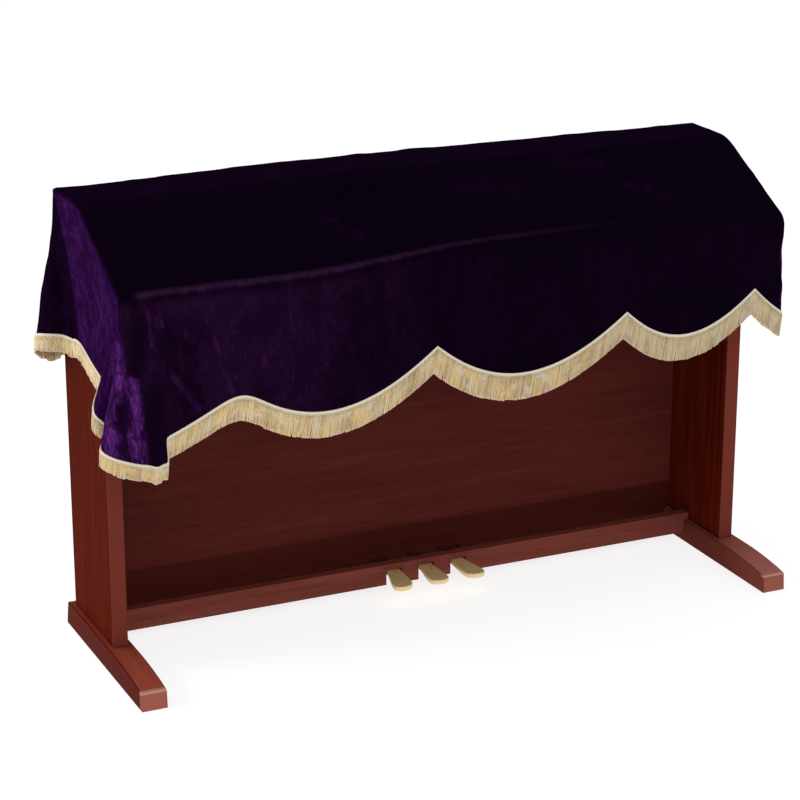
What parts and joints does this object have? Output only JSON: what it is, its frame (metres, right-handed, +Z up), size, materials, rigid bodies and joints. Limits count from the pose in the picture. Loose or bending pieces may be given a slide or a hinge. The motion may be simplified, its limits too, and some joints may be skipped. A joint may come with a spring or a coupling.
{
  "type": "piano cover on a digital piano",
  "caption": "Loose velvet cover with a scalloped, fringed hem, draped over a plain digital piano on side panels, with sprung foot pedals",
  "frame": {"origin": "On the floor, midway between the two feet, which is also the middle of the whole object's box seen from above.", "axes": "+X runs to the right along the piano, as the player sees it from behind the stool; +Y runs from the player to the back; +Z is up."},
  "size_m": [1.4992, 0.4516, 0.893],
  "materials": {
    "purple_velvet": "deep purple velvet with crushed, lighter violet pile where it turns to the light",
    "gold_fringe": "champagne gold rayon yarn with a paler header tape",
    "mahogany": "satin red-brown mahogany veneer",
    "rail_mahogany": "satin red-brown mahogany veneer, a little paler",
    "panel_mahogany": "satin dark mahogany veneer, grain across",
    "pedal_brass": "satin, dull brass",
    "bracket_steel": "matt black paint"
  },
  "bodies": {
    "covered_piano": {"foot_left": "mahogany", "foot_right": "mahogany", "leg_left": "mahogany", "leg_right": "mahogany", "pedal_rail": "rail_mahogany", "back_panel": "panel_mahogany", "keyboard_case": "mahogany", "pedal_bracket": "bracket_steel", "cover_cloth": "purple_velvet", "fringe": "gold_fringe"},
    "left_pedal": {"pedal_left": "pedal_brass"},
    "middle_pedal": {"pedal_middle": "pedal_brass"},
    "right_pedal": {"pedal_right": "pedal_brass"}
  },
  "joints": [
    {"name": "left_pedal_press", "type": "hinge", "parent": "covered_piano", "child": "left_pedal", "pos_m": [-0.041, 0.15, 0.0475], "axis": [1, 0, 0], "range_deg": [0, 6.5], "stiffness_Nm_per_rad": 8, "springref_deg": -5.73},
    {"name": "middle_pedal_press", "type": "hinge", "parent": "covered_piano", "child": "middle_pedal", "pos_m": [0.031, 0.15, 0.0475], "axis": [1, 0, 0], "range_deg": [0, 6.5], "stiffness_Nm_per_rad": 8, "springref_deg": -5.73},
    {"name": "right_pedal_press", "type": "hinge", "parent": "covered_piano", "child": "right_pedal", "pos_m": [0.103, 0.15, 0.0475], "axis": [1, 0, 0], "range_deg": [0, 6.5], "stiffness_Nm_per_rad": 8, "springref_deg": -5.73}
  ]
}
